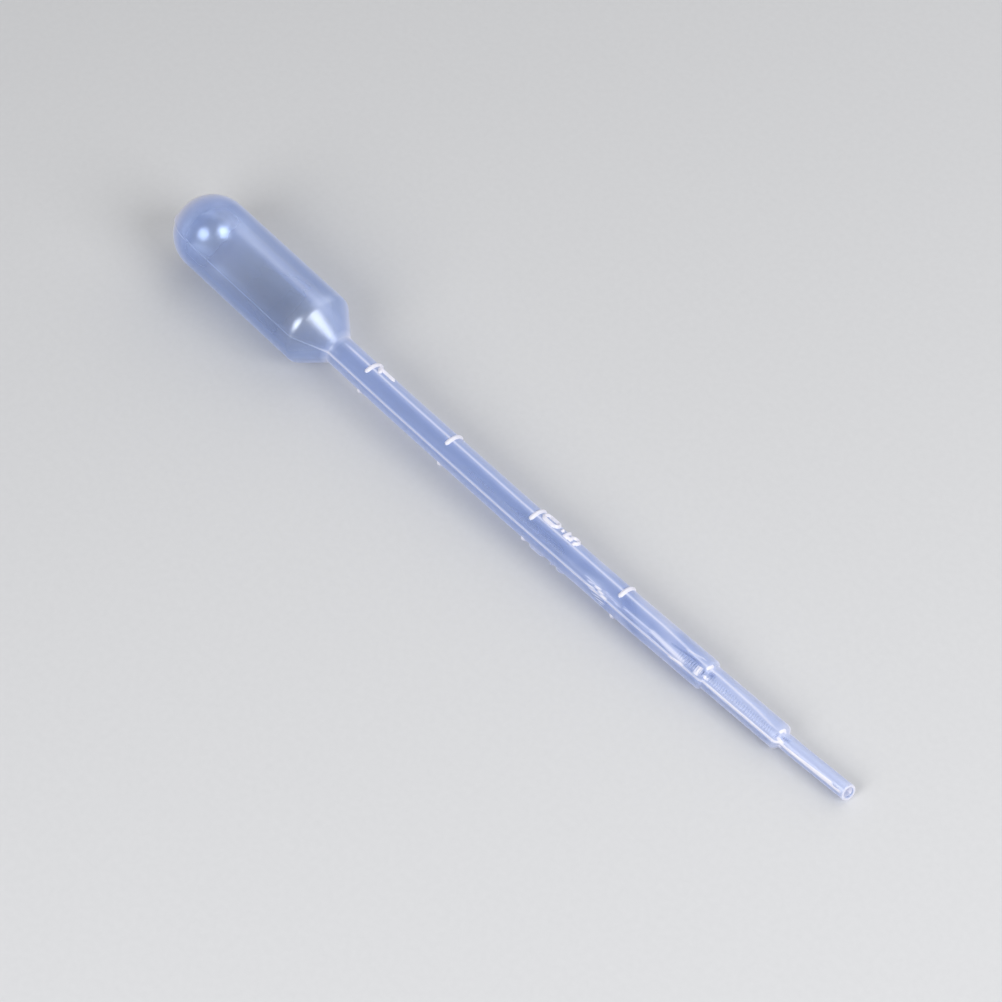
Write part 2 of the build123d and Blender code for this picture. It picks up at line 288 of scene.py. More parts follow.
def inner_rows():
    """Rows of the cavity's wall from the dome to the tip; their normals point out of the cavity."""
    radius = BULB_RADIUS - BULB_WALL
    centre = DOME_END_WALL + radius
    rows = domed(radius, centre, np.linspace(CAVITY_POLE_ANGLE, pi / 2, CAVITY_DOME_ROWS)[:-1])

    def spacing(at):
        if at < neck:
            return CAVITY_BULB_GAP
        if at < uneven_from:
            return CAVITY_STEM_GAP
        return CAVITY_UNEVEN_GAP if at < first_step else CAVITY_END_GAP

    slope = tan(SHOULDER_HALF_ANGLE)
    cone = SHOULDER_WALL / cos(SHOULDER_HALF_ANGLE)
    step = tan(STEP_HALF_ANGLE)
    inset = STEP_WALL / cos(STEP_HALF_ANGLE)
    first_top = first_step - (STEM_BORE_RADIUS - STEM_RADIUS + inset) / step
    second_top = second_step - (MIDDLE_BORE_RADIUS - MIDDLE_RADIUS + inset) / step
    points = [
        (centre, radius),
        (neck - (radius - STEM_RADIUS + cone) / slope, radius),
        (neck - (STEM_BORE_RADIUS - STEM_RADIUS + cone) / slope, STEM_BORE_RADIUS),
        (first_top, STEM_BORE_RADIUS),
        (first_top + (STEM_BORE_RADIUS - MIDDLE_BORE_RADIUS) / step, MIDDLE_BORE_RADIUS),
        (second_top, MIDDLE_BORE_RADIUS),
        (second_top + (MIDDLE_BORE_RADIUS - TIP_BORE_RADIUS) / step, TIP_BORE_RADIUS),
        (tip_end - RIM_RADIUS, TIP_BORE_RADIUS),
    ]
    radii = [0, CAVITY_SHOULDER_RADIUS, CAVITY_NECK_RADIUS, *[CAVITY_STEP_RADIUS] * 4]
    return rows + rounded(points, radii, spacing)


RIM_STEPS = 4


def rim_rows():
    """Rows over the cut end: the outer edge's rounding, then the inner edge's."""
    rows = []
    for edge, side in ((TIP_RADIUS, 1), (TIP_BORE_RADIUS, -1)):
        for step in range(RIM_STEPS + 1):
            share = step / RIM_STEPS
            angle = pi / 2 * (1 - share) if side > 0 else pi / 2 * share
            at = tip_end - RIM_RADIUS * (1 - cos(angle))
            radius = edge - side * RIM_RADIUS * (1 - sin(angle))
            rows.append((at, radius, cos(angle), side * sin(angle)))
    return rows


# ---- columns round the tube, crowded at the parting line and over the numbers ----
SEAM_OFFSETS = (0.0, 0.04, 0.08, 0.13, 0.26, 0.42)             # millimetres off the parting line
SEAM_LIMITS = np.radians((0.0, 1.2, 2.6, 4.4, 6.6, 8.8))       # and the most that each may be
HALF_COLUMNS = np.radians(np.concatenate([                     # off the middle of a mould half
    np.linspace(-79, -29, 16)[:-1], np.linspace(-29, 29, 36), np.linspace(29, 79, 16)[1:],
]))
LEAST_RADIUS = 0.05


def columns(radius):
    """Angles of a ring's points, for rings of these radii: (rings, columns)."""
    reach = np.minimum(np.outer(1 / np.maximum(radius, LEAST_RADIUS), SEAM_OFFSETS), SEAM_LIMITS)
    seam = np.concatenate([-reach[:, :0:-1], reach], 1)
    ones = np.ones((len(radius), 1))
    return np.concatenate([
        near_seam + seam, FIRST_HALF + ones * HALF_COLUMNS,
        far_seam + seam, second_half + ones * HALF_COLUMNS,
    ], 1)


# ---- raised detail on the outer skin, as heights in millimetres ----
def turned(angle, middle):
    """An angle measured from `middle`, between -pi and pi."""
    return (angle - middle + pi) % (2 * pi) - pi


def flash(at, radius, angle):
    """The parting line's ridge on both sides, faded out at the dome's end and in the tip's bend."""
    off = np.minimum(np.abs(turned(angle, near_seam)), np.abs(turned(angle, far_seam))) * radius
    ridge = FLASH_HEIGHT * np.clip(1 - (off / FLASH_HALF_WIDTH) ** 2, 0, 1) ** 0.7
    end = second_step + STRAIGHT_LEAD + TIP_BEND_LENGTH
    fade = np.clip((end - at) / 2.0, 0, 1) * np.clip((at - 2.0) / 1.0, 0, 1)
    return ridge * fade


def pinch_off(at, radius, angle):
    """The weld bead across the dome, along the parting plane."""
    sideways = radius * np.sin(angle - near_seam)
    across = radius * np.cos(angle - near_seam)
    within = np.hypot(BULB_RADIUS - at, across)
    swing = np.abs(np.arctan2(across, BULB_RADIUS - at))
    past = np.maximum(swing - PINCH_HALF_SPAN, 0) * within
    drop = PINCH_RADIUS**2 - sideways**2 - past**2
    bead = np.sqrt(np.maximum(drop, 0)) - (PINCH_RADIUS - PINCH_HEIGHT)
    return np.where(at < BULB_RADIUS, np.maximum(bead, 0), 0)


def rounded_height(distance, half_width, height):
    """Height of a stroke with a rounded top, by the distance from its middle line."""
    return height * np.clip(1 - (distance / half_width) ** 2, 0, 1) ** 0.6


def to_segment(u, v, a, b):
    """Distance of points (u, v) from the segment between a and b."""
    du, dv = b[0] - a[0], b[1] - a[1]
    share = np.clip(((u - a[0]) * du + (v - a[1]) * dv) / (du * du + dv * dv), 0, 1)
    return np.hypot(u - a[0] - share * du, v - a[1] - share * dv)


def number_one(u, v):
    """Distance from the strokes of 1; u runs across the number and v up from its top."""
    top = -STROKE_HALF_WIDTH
    upright = to_segment(u, v, (0, top), (0, -3.4))
    return np.minimum(upright, to_segment(u, v, (0, top), (-0.6, top - 0.6)))


def number_half(u, v):
    """Distance from the strokes of 0, point and 5, one below the other."""
    nought = np.abs(to_segment(u, v, (0.1, -1.1), (0.1, -2.6)) - 0.7)
    point = np.hypot(u, v + 4.35)
    right, middle = 0.7, -7.0
    bowl_start, bowl_end = -150, 130
    bowl_angle = np.degrees(np.arctan2(v - middle, u))
    on_bowl = (bowl_angle > bowl_start) & (bowl_angle < bowl_end)
    first, last = (
        (right * cos(radians(side)), right * sin(radians(side))) for side in (bowl_start, bowl_end)
    )
    ends = np.minimum(*(np.hypot(u - end[0], v - middle - end[1]) for end in (last, first)))
    bowl = np.where(on_bowl, np.abs(np.hypot(u, v - middle) - right), ends)
    corner = (-0.56, -5.3)
    upright = to_segment(u, v, (last[0], middle + last[1]), corner)
    flag = to_segment(u, v, corner, (right, -5.3))
    return np.minimum.reduce([nought, point, bowl, upright, flag])


def graduation(at, radius, angle):
    """Marks and numbers of both mould halves."""
    height = np.zeros_like(angle)
    for half, shift in ((FIRST_HALF, 0.0), (second_half, HALF_MISMATCH)):
        swing = turned(angle, half)
        past = np.maximum(np.abs(swing) - MARK_HALF_SPAN, 0) * STEM_RADIUS
        for mark in marks + shift:
            off = np.hypot(at - mark, past)
            bead = np.sqrt(np.maximum(MARK_RADIUS**2 - off**2, 0)) - (MARK_RADIUS - MARK_HEIGHT)
            height = np.maximum(height, bead)
        u = STEM_RADIUS * np.sin(swing)
        front = np.abs(swing) < NUMBER_HALF_SPAN
        for number, mark in ((number_one, marks[0]), (number_half, marks[2])):
            v = -(at - mark - shift - NUMBER_GAP)
            stroke = rounded_height(number(u, v), STROKE_HALF_WIDTH, STROKE_HEIGHT)
            height = np.maximum(height, np.where(front, stroke, 0))
    return height


def raised(at, radius, angle):
    """All that stands up from the outer skin."""
    details = (flash, pinch_off, graduation)
    return np.maximum.reduce([detail(at, radius, angle) for detail in details])


def plain(at, radius, angle):
    """Nothing raised."""
    return np.zeros_like(angle)


# ---- the uneven wall of the lower stem, as the cavity's swelling in millimetres ----
# Waves: lobes round the tube, length along it, lean in radians, height
WAVES = (
    (1, 17.0, 0.6, 0.055), (2, 11.0, 2.1, 0.05), (3, 7.3, 4.0, 0.035), (2, 5.1, 1.2, 0.025),
    (5, 9.0, 5.0, 0.018),
)
# Bulges into the cavity: distance and angle of the middle, half length, half width in radians,
# and the cavity's swelling there, which is negative
BULGES = (
    (marks[3] - 4.2, radians(-8), 2.2, 0.30, -0.20),
    (marks[3] - 2.0, radians(-30), 1.8, 0.22, -0.16),
    (first_step - 5.8, radians(-18), 1.8, 0.26, -0.20),
    (first_step - 3.8, radians(-38), 1.6, 0.2, -0.15),
    (first_step - 7.5, radians(60), 4.0, 0.3, -0.10),
)
BULGE_SLANT = 0.05           # radians that a bulge leans per millimetre


def uneven(at, angle):
    """Where the blown wall is thicker or thinner than it should be, towards the first step."""
    strength = np.clip((at - uneven_from) / 9.0, 0, 1) ** 1.5
    strength = strength * np.clip((second_step - at) / 2.0, 0, 1)
    strength *= np.where(at > first_step - 1.2, 0.35, 1.0)
    wave = 0.0
    for lobes, length, lean, size in WAVES:
        wave = wave + size * np.sin(lobes * angle + lean + 2 * pi * at / length)
    bulges = 0.0
    for centre, side, long, wide, size in BULGES:
        slanted = turned(angle, side) - (at - centre) * BULGE_SLANT
        bulges = bulges + size * np.exp(-(((at - centre) / long) ** 2) - (slanted / wide) ** 2)
    return strength * (wave + bulges)


def no_swell(at, angle):
    """An even wall."""
    return 0.0


# ---- how much milky plastic a point stands for, in millimetres of plain wall ----
BACKLIT_SIDE = radians(85)     # painted light: the side made milkier, and so lighter, where the light from behind falls, and by what share
BACKLIT_MILK_SHARE = 0.06
PINCH_MILK = 6.0             # per millimetre of the bead's height
OUTER_FOLD_AND_GLINT_SHARE = 0.7       # how much of the folds, the painted step highlights and the flow line the outer skin carries
INNER_FLOW_SHARE = 0.9       # how much of the flow line the cavity's wall carries

# Folds of the inner wall near the first step, and streaks in the tip: distance and angle in
# degrees of both ends, half width, milk
FOLDS = (
    (98.6, -12, 101.6, -17, 0.10, 0.9), (99.4, -19, 103.3, -58, 0.09, 1.5),
    (99.0, -26, 102.9, -63, 0.08, 1.2), (100.8, -16, 103.0, -31, 0.17, 3.2),
    (101.2, -27, 103.6, -40, 0.10, -0.6), (102.2, -10, 105.6, -19, 0.12, 0.6),
    (106.6, -12, 112.5, -10, 0.14, 0.8), (112.5, -10, 119.6, -20, 0.30, 1.1),
    (112.8, -22, 118.8, -34, 0.12, -0.5), (117.4, -37, 119.5, -30, 0.16, 3.0),
    (113.8, 139, 116.6, 164, 0.12, 1.6), (119.0, 20, 121.6, 34, 0.14, 0.9),
    (116.5, 2, 121.6, 14, 0.12, -0.4), (140.8, -34, 148.8, -22, 0.20, 2.5),
    (150.0, -22, 150.5, -20, 0.15, -1.6), (151.2, -54, 151.6, -52, 0.12, -1.6),
)
# Painted highlights: white patches that stand in for the lamps' reflections in the cone inside each
# step, with clearer gaps between them; the same columns, with distances taken from the step
PAINTED_STEP_GLINTS = (
    (-0.85, -24, -0.85, 2, 0.15, 3.4), (-0.1, 16, 0.15, 38, 0.17, 3.4),
    (0.25, -12, 0.75, -24, 0.17, 3.4), (-0.35, -18, -0.1, 4, 0.13, -0.9),
    (0.75, 4, 1.15, 14, 0.28, -0.9), (0.9, -44, 0.7, -58, 0.14, 1.6), (1.5, 4, 1.6, 20, 0.10, 1.2),
)
FOLDS_AND_STEP_GLINTS = FOLDS + tuple(
    (step + start, start_side, step + end, *rest)
    for step in (first_step, second_step) for start, start_side, end, *rest in PAINTED_STEP_GLINTS
)
# A pale flow line along the stem: distances, and how far off the middle in stem radii
FLOW = (
    (BULB_LENGTH, 95, 113.6, 118, 122, 125, 128.2, 132.8, 136.3),
    (0.56, 0.55, 0.52, 0.42, 0.33, 0.38, 0.36, 0.31, 0.19),
)
FLOW_HALF_WIDTH = 0.17
# The parting line's milky far side wanders a little: distances and degrees
WANDER = ((85, 98, 104.8, 113.6, 116.8, 120.3, 123), (0, -3, -14, -6, 5, 4, 0))


def wall_at(at):
    """The wall's thickness along the piece."""
    places = [
        0, 1.5, 4, 8, BULB_LENGTH - 2, BULB_LENGTH + 1, neck, first_step - 1, first_step,
        first_step + 1.5, second_step - 1, second_step, second_step + 1.5, tip_end,
    ]
    walls = [1.15, 1.05, 0.72, 0.46, 0.45, 0.52, 0.62, 0.62, 0.8, 0.6, 0.6, 0.85, 0.55, 0.55]
    return np.interp(at, places, walls)


def painted_backlit_side(angle):
    """Painted light: the wall is made milkier, and so lighter, on the side that faces the light from
    behind, and clearer on the other.
    """
    return 1 + BACKLIT_MILK_SHARE * np.cos(angle - BACKLIT_SIDE)


def weld(at, radius, angle, inner):
    """Extra milk along the parting line: thin and crisp on one side, broad and soft on the other."""
    on_bulb = np.clip((neck + 1.0 - at) / 4.0, 0, 1)
    past_step = np.clip((at - first_step) / 1.5, 0, 1)
    strayed = np.radians(np.interp(at, *WANDER))
    near = np.abs(turned(angle, near_seam)) * radius
    far = np.abs(turned(angle, far_seam + strayed)) * radius
    thin_width, thin_milk = 0.20 - 0.09 * on_bulb, 0.9 - 0.76 * on_bulb + 0.9 * past_step
    broad_width, broad_milk = 0.26 + 0.18 * on_bulb, 4.2 - 1.6 * on_bulb
    near_line = thin_milk * np.exp(-((near / thin_width) ** 2))
    far_line = broad_milk * np.exp(-((far / broad_width) ** 2))
    return near_line * (0.3 if inner else 1.0) + far_line * (1.0 if inner else 0.7)


def folds_and_step_glints(at, radius, angle):
    """White folds and clear gaps of the inner wall, and the painted highlights at the steps, each
    along a straight stroke.
    """
    milk = np.zeros_like(angle)
    around = turned(angle, 0.0) * radius
    for start, start_side, end, end_side, half_width, strength in FOLDS_AND_STEP_GLINTS:
        ends = (start, radius * radians(start_side)), (end, radius * radians(end_side))
        far = to_segment(at, around, *ends)
        milk = milk + strength * np.exp(-((far / half_width) ** 4))
    return milk


def flow_line(at, radius, angle):
    """The pale line along the upper half, from the neck to the second step."""
    aside = radius * np.sin(angle) - STEM_RADIUS * np.interp(at, *FLOW)
    strength = np.clip((at - neck - 1) / 2, 0, 1) * np.clip((second_step - at) / 2, 0, 1)
    return strength * np.exp(-((aside / FLOW_HALF_WIDTH) ** 2)) * (np.cos(angle) > 0)


def cloudy(at, angle, inner):
    """Milkier towards the tip, most of all in the inner face, and at the hollow of the neck."""
    places = [
        marks[2] + 4, marks[3] - 4, marks[3] + 4, first_step, first_step + 2, second_step,
        second_step + 2, tip_end,
    ]
    ramp = np.interp(at, places, [0, 0.10, 0.35, 0.62, 1.05, 1.1, 1.6, 1.8])
    middle = np.exp(-(((np.sin(angle) - 0.1) / 0.55) ** 4)) * (np.cos(angle) > 0)
    ramp = ramp * np.where(at > first_step - 8, 0.6 + 0.75 * middle, 1.0)
    at_neck = np.exp(-(((at - neck) / 0.25) ** 2))
    return ramp * (1.0 if inner else 0.18) + (0.0 if inner else 0.3) * at_neck


def milky(at, radius, angle, inner):
    """The milk of the wall itself, without the folds, the painted step highlights, the flow line and
    the raised details.
    """
    # painted light: the wall is milkier on the side that faces the light from behind
    thick = wall_at(at) * painted_backlit_side(angle) - uneven(at, angle)
    return thick + weld(at, radius, angle, inner) + cloudy(at, angle, inner)


def relief_milk_and_highlight(lift, angle):
    """Raised details are whiter: partly the thicker plastic, partly a painted highlight; the second
    half's are clear but at their ends, which are painted white as a highlight.
    """
    solid = np.clip(lift / 0.05, 0, 1)
    swing = np.abs(turned(angle, second_half))
    painted_end_highlight = np.clip((swing - 0.58 * MARK_HALF_SPAN) / (0.2 * MARK_HALF_SPAN), 0, 1)
    on_first = np.cos(angle - FIRST_HALF) > 0
    return solid * np.where(on_first, 2.6, 0.5 + 2.4 * painted_end_highlight)


# ---- how the surface shines ----
SKIN_GLEAM = 0.05            # how strongly the outer skin mirrors, seen head-on
DOME_FAR_GLEAM = 0.72        # added to it on the far side of the dome's inside
RIM_FROST = 0.4
RIPPLE_SIDE = radians(-8)
RIPPLE_HALF_WIDTH = radians(12)
OUTER_RIPPLE_SHARE = 0.5


def frost(at):
    """How dull the skin is: glossy on the dome, frosted on the middle length."""
    places = [
        BULB_LENGTH - 6, BULB_LENGTH - 1, neck, neck + 3, marks[2] + 4, marks[3], first_step,
        second_step - 2, second_step + 2, tip_end,
    ]
    return np.interp(at, places, [0, 0.3, 0.5, 0.1, 0.1, 0.45, 0.8, 1.0, 0.3, 0.2])


def gleam(at, angle):
    """How strongly the cavity's wall mirrors, seen head-on; the dome's does so on its far side."""
    places = [
        8, BULB_LENGTH - 4, BULB_LENGTH, neck, neck + 2, marks[3], first_step, second_step - 1,
        second_step + 2, tip_end,
    ]
    elsewhere = np.interp(at, places, [0.34, 0.14, 0.32, 0.26, 0.05, 0.05, 0.10, 0.10, 0.22, 0.16])
    on_dome = np.clip((16 - at) / 8, 0, 1)
    on_dome = on_dome * on_dome * (3 - 2 * on_dome)
    far_side = (0.5 - 0.5 * np.cos(angle)) ** 2
    return elsewhere * (1 - on_dome) + (SKIN_GLEAM + DOME_FAR_GLEAM * far_side) * on_dome


def ripple(at, angle):
    """Where fine ripples run: a narrow band over the middle length and just before it."""
    start = np.clip((at - first_step + 5.5) / 2.0, 0, 1)
    end = np.clip((second_step - 1.0 - at) / 1.5, 0, 1)
    return start * end * np.exp(-((turned(angle, RIPPLE_SIDE) / RIPPLE_HALF_WIDTH) ** 4))


# ---- the mesh ----
def lean_weight(at):
    """How far a ring already leans like the tip's cut."""
    share = np.clip((at - (tip_end - CUT_BLEND)) / (CUT_BLEND - RIM_RADIUS), 0, 1)
    return share * share * (3 - 2 * share)


def ring_points(rows, shift, heights, swell, cut):
    """Points of many rings, and their angles.

    `shift` moves a ring off the centre line and `cut` leans it as the tip's cut leans.
    """
    at, radius, normal_s, normal_r = rows.T[:, :, None]
    x, y, heading = station(rows[:, 0])
    angle = columns(rows[:, 1])
    lift = heights(at, radius, angle)
    reach = radius + lift * normal_r + swell(at, angle)
    forward = lift * normal_s - cut[:, None] * reach * np.cos(angle) * tan(TIP_CUT)
    side = reach * np.sin(angle) + shift[:, None] * sin(THIN_SIDE)
    rise = reach * np.cos(angle) + shift[:, None] * cos(THIN_SIDE)
    heading = heading[:, None]
    px = x[:, None] + forward * np.cos(heading) - side * np.sin(heading)
    py = y[:, None] + forward * np.sin(heading) + side * np.cos(heading)
    return np.stack([px, py, rise + 0 * px], -1), angle


def skin_layer():
    """Rings of the outer skin, with what the material has to know at each point."""
    rows = np.array(outer_rows())
    at, radius = rows.T[:2, :, None]
    points, angle = ring_points(
        rows, np.zeros(len(rows)), raised, no_swell, lean_weight(rows[:, 0])
    )
    # raised details: thicker plastic and a painted highlight
    wall = milky(at, radius, angle, False) + relief_milk_and_highlight(graduation(at, radius, angle), angle)
    wall = wall + PINCH_MILK * pinch_off(at, radius, angle)
    # painted highlights: the glints at the steps come in here with the folds
    wall = wall + OUTER_FOLD_AND_GLINT_SHARE * folds_and_step_glints(at, radius, angle)
    wall = wall + OUTER_FOLD_AND_GLINT_SHARE * flow_line(at, radius, angle)
    return {
        "points": points,
        "wall": wall,
        "skin": np.ones(angle.shape),
        "gleam": np.full(angle.shape, SKIN_GLEAM),
        "frost": frost(at) + 0 * angle,
        "ripple": OUTER_RIPPLE_SHARE * ripple(at, angle),
    }


def rim_layer():
    """Rings of the tip's cut end, from the skin to the bore."""
    rows = np.array(rim_rows())
    across = np.linspace(0, 1, len(rows))
    points, angle = ring_points(rows, WALL_SHIFT * across, plain, no_swell, np.ones(len(rows)))
    wall = np.interp(across, [0, 0.45, 0.75, 1], [1.0, 1.7, 0.8, 0.5])
    return {
        "points": points,
        "wall": wall[:, None] + 0 * angle,
        "skin": np.ones(angle.shape),
        "gleam": np.full(angle.shape, SKIN_GLEAM),
        "frost": np.full(angle.shape, RIM_FROST),
        "ripple": np.zeros(angle.shape),
    }


def cavity_layer():
    """Rings of the cavity's wall, from the bore back to the dome."""
    rows = np.array(inner_rows())[::-1]
    at, radius = rows.T[:2, :, None]
    points, angle = ring_points(
        rows, np.full(len(rows), WALL_SHIFT), plain, uneven, lean_weight(rows[:, 0])
    )
    # painted highlights: the glints at the steps come in here with the folds
    wall = milky(at, radius, angle, True) + folds_and_step_glints(at, radius, angle)
    return {
        "points": points,
        "wall": wall + INNER_FLOW_SHARE * flow_line(at, radius, angle),
        "skin": np.zeros(angle.shape),
        "gleam": gleam(at, angle),
        "frost": frost(at) + 0 * angle,
        "ripple": ripple(at, angle),
    }


# What the material has to know at the two poles of the dome, outside and inside
AT_POLES = {
    "wall": (0.95, 0.95), "skin": (1, 0), "gleam": (SKIN_GLEAM, 0.3), "frost": (0, 0),
    "ripple": (0, 0),
}


def pipette_mesh():
    """One closed mesh: skin, rim and cavity as strips between rings, and a fan at each pole."""
    layers = (skin_layer(), rim_layer(), cavity_layer())
    rings = np.concatenate([layer["points"] for layer in layers])
    count, across = rings.shape[:2]
    poles = [
        (-PINCH_HEIGHT, 0, 0),
        (DOME_END_WALL, WALL_SHIFT * sin(THIN_SIDE), WALL_SHIFT * cos(THIN_SIDE)),
    ]
    points = laid(np.concatenate([rings.reshape(-1, 3), poles]))
    number = np.arange(count * across).reshape(count, across)
    after = np.roll(number, -1, 1)
    quads = np.stack([number[:-1], number[1:], after[1:], after[:-1]], -1).reshape(-1, 4)
    first, last = count * across, count * across + 1
    faces = quads.tolist()
    faces += [(first, a, b) for a, b in zip(number[0].tolist(), after[0].tolist())]
    faces += [(last, b, a) for a, b in zip(number[-1].tolist(), after[-1].tolist())]
    mesh = bpy.data.meshes.new("pipette_body")
    mesh.from_pydata(points.tolist(), [], faces)
    mesh.polygons.foreach_set("use_smooth", np.ones(len(mesh.polygons), bool))
    for name, at_poles in AT_POLES.items():
        attribute = mesh.attributes.new(name, "FLOAT", "POINT")
        flat = np.concatenate([*(layer[name].ravel() for layer in layers), at_poles])
        attribute.data.foreach_set("value", flat.astype(np.float32))
    mesh.validate()
    mesh.update()
    return mesh


body = bpy.data.objects.new("pipette_body", pipette_mesh())
bpy.context.scene.collection.objects.link(body)
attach(body, "root")
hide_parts("pipette")


# ---- materials ----
class Tree:
    """A short way to add shader nodes and join them."""

    def __init__(self, tree):
        self.tree = tree
        tree.nodes.clear()

    def add(self, kind, inputs=None, **settings):
        """A new node; each input is a value or another node's output."""
        node = self.tree.nodes.new(kind)
        for name, value in settings.items():
            setattr(node, name, value)
        for name, value in (inputs or {}).items():
            socket = node.inputs[name]
            if isinstance(value, bpy.types.NodeSocket):
                self.tree.links.new(value, socket)
            else:
                socket.default_value = value
        return node

    def math(self, operation, *values, clamp=False):
        """The output of a Math node."""
        settings = {"operation": operation, "use_clamp": clamp}
        return self.add("ShaderNodeMath", dict(enumerate(values)), **settings).outputs[0]


STREAK_SCALE = (60, 700, 700)        # noise drawn out along the piece
RIPPLE_SCALE = 680.0
RIPPLE_MILK = 1.2
RIPPLE_DEPTH = 0.00005               # metres
BUMP_DEPTH = 0.00004
CLEAR_DEPTH = 0.48                   # a wall up to this many millimetres thick is clear
HAZE_RATE = -1.5                     # beyond that it clouds by this power of e per millimetre
E = 2.718
CLEAR_TINT = (0.772, 0.816, 0.90, 1)
SHADES_PER_MM = 0.25                 # so that the shades below are spread over 4 mm of wall
SHADES = (
    (0.11, (0.28, 0.40, 0.78)), (0.1625, (0.48, 0.60, 0.92)), (0.275, (0.66, 0.73, 0.95)),
    (0.40, (0.78, 0.81, 0.96)), (0.62, (0.96, 0.94, 1.0)),
)
SHINE_THROUGH = 0.25                 # share of the milk's light that comes from behind
ROUGHNESS = 0.28                     # of the glossy dome; full frost adds the next to it
FROST_ROUGHNESS = 0.12
EDGE_MIRROR = 0.4                    # how much more it mirrors at a grazing angle


def plastic():
    """Undyed polyethylene: a thin milky wall that scatters blue where thin and white where thick."""
    material = bpy.data.materials.new("pipette_plastic")
    material.use_nodes = True
    t = Tree(material.node_tree)
    place = t.add("ShaderNodeTexCoord").outputs["Object"]
    drawn = t.add("ShaderNodeMapping", {"Vector": place, "Scale": STREAK_SCALE}).outputs[0]
    streaks = t.add(
        "ShaderNodeTexNoise", {"Vector": drawn, "Scale": 1.0, "Detail": 1.5, "Roughness": 0.5}
    ).outputs["Fac"]
    clouds, grain = (
        t.add("ShaderNodeTexNoise", {"Vector": place, "Scale": scale, "Detail": 2.0}).outputs["Fac"]
        for scale in (160.0, 2600.0)
    )
    chatter = t.add("ShaderNodeTexWave", {
        "Vector": place, "Scale": RIPPLE_SCALE, "Distortion": 2.4, "Detail": 1.5,
        "Detail Scale": 1.5,
    }).outputs["Fac"]
    wall, skin, gleam_at, frost_at, ripple_at = (
        t.add("ShaderNodeAttribute", attribute_name=name).outputs["Fac"] for name in AT_POLES
    )
    bumpy = t.math("ADD", t.math("MULTIPLY", streaks, 0.8), t.math("MULTIPLY", grain, 0.2))
    bump = t.add(
        "ShaderNodeBump", {"Height": bumpy, "Strength": 0.10, "Distance": BUMP_DEPTH}
    ).outputs[0]
    grooves = t.math("MULTIPLY", chatter, ripple_at)
    bump = t.add("ShaderNodeBump", {
        "Height": grooves, "Strength": 1.0, "Distance": RIPPLE_DEPTH, "Normal": bump,
    }).outputs[0]
    facing = t.add("ShaderNodeLayerWeight", {"Blend": 0.5}).outputs["Facing"]

    # Milk varies with the streaks and clouds, more so where frosted and in the inner wall
    frosted = t.math("MULTIPLY_ADD", frost_at, 0.6, 0.2)
    swing = t.math("MULTIPLY", frosted, t.math("MULTIPLY_ADD", skin, -0.85, 1.0))
    uneven_milk = t.math("SUBTRACT", t.math("ADD", streaks, clouds), 1.0)
    milk = t.math("MULTIPLY_ADD", uneven_milk, swing, 1.0)
    rippled = t.math("MULTIPLY", t.math("SUBTRACT", chatter, 0.6), ripple_at)
    milk = t.math("MULTIPLY_ADD", rippled, RIPPLE_MILK, milk)

    # A ray that grazes the wall passes through more of it
    graze = t.math("MULTIPLY", facing, t.math("MULTIPLY_ADD", skin, 0.35, 0.4))
    slant = t.math("DIVIDE", 1.1, t.math("SUBTRACT", 1.1, graze))
    depth = t.math("MULTIPLY", t.math("MULTIPLY", wall, slant), milk)
    thickness = t.math("MAXIMUM", t.math("SUBTRACT", depth, CLEAR_DEPTH), 0.0)
    passed = t.math("POWER", E, t.math("MULTIPLY", thickness, HAZE_RATE))
    haze = t.math("SUBTRACT", 1.0, passed, clamp=True)
    ramp = t.add("ShaderNodeValToRGB", {"Fac": t.math("MULTIPLY", depth, SHADES_PER_MM)})
    stops = ramp.color_ramp.elements
    stops[0].position, stops[0].color = SHADES[0][0], (*SHADES[0][1], 1)
    stops[1].position, stops[1].color = SHADES[-1][0], (*SHADES[-1][1], 1)
    for position, shade in SHADES[1:-1]:
        stops.new(position).color = (*shade, 1)
    colour = ramp.outputs["Color"]

    clear = t.add("ShaderNodeBsdfTransparent", {"Color": CLEAR_TINT}).outputs[0]
    lit = t.add("ShaderNodeBsdfDiffuse", {"Color": colour, "Normal": bump}).outputs[0]
    through = t.add("ShaderNodeBsdfTranslucent", {"Color": colour, "Normal": bump}).outputs[0]
    scatter = t.add("ShaderNodeMixShader", {0: SHINE_THROUGH, 1: lit, 2: through}).outputs[0]
    inside = t.add("ShaderNodeMixShader", {0: haze, 1: clear, 2: scatter}).outputs[0]
    dullness = t.math("MULTIPLY_ADD", frost_at, FROST_ROUGHNESS, ROUGHNESS)
    gloss = t.add(
        "ShaderNodeBsdfGlossy", {"Color": (1, 1, 1, 1), "Roughness": dullness, "Normal": bump}
    ).outputs[0]
    mirror = t.math("MULTIPLY_ADD", t.math("POWER", facing, 6.0), EDGE_MIRROR, gleam_at)
    surface = t.add("ShaderNodeMixShader", {0: mirror, 1: inside, 2: gloss}).outputs[0]
    t.add("ShaderNodeOutputMaterial", {"Surface": surface})
    return material


def floor_material():
    """Pale matt card with a faint mottle."""
    material = bpy.data.materials.new("floor_card")
    material.use_nodes = True
    t = Tree(material.node_tree)
    place = t.add("ShaderNodeTexCoord").outputs["Object"]
    mottle = t.add(
        "ShaderNodeTexNoise", {"Vector": place, "Scale": 900.0, "Detail": 3.0}
    ).outputs["Fac"]
    shades = {"Factor": mottle, 6: (0.64, 0.645, 0.66, 1), 7: (0.68, 0.685, 0.70, 1)}
    colour = t.add("ShaderNodeMix", shades, data_type="RGBA").outputs[2]
    card = t.add("ShaderNodeBsdfPrincipled", {
        "Base Color": colour, "Roughness": 0.8, "Specular IOR Level": 0.2,
    }).outputs[0]
    t.add("ShaderNodeOutputMaterial", {"Surface": card})
    return material


body.data.materials.append(plastic())

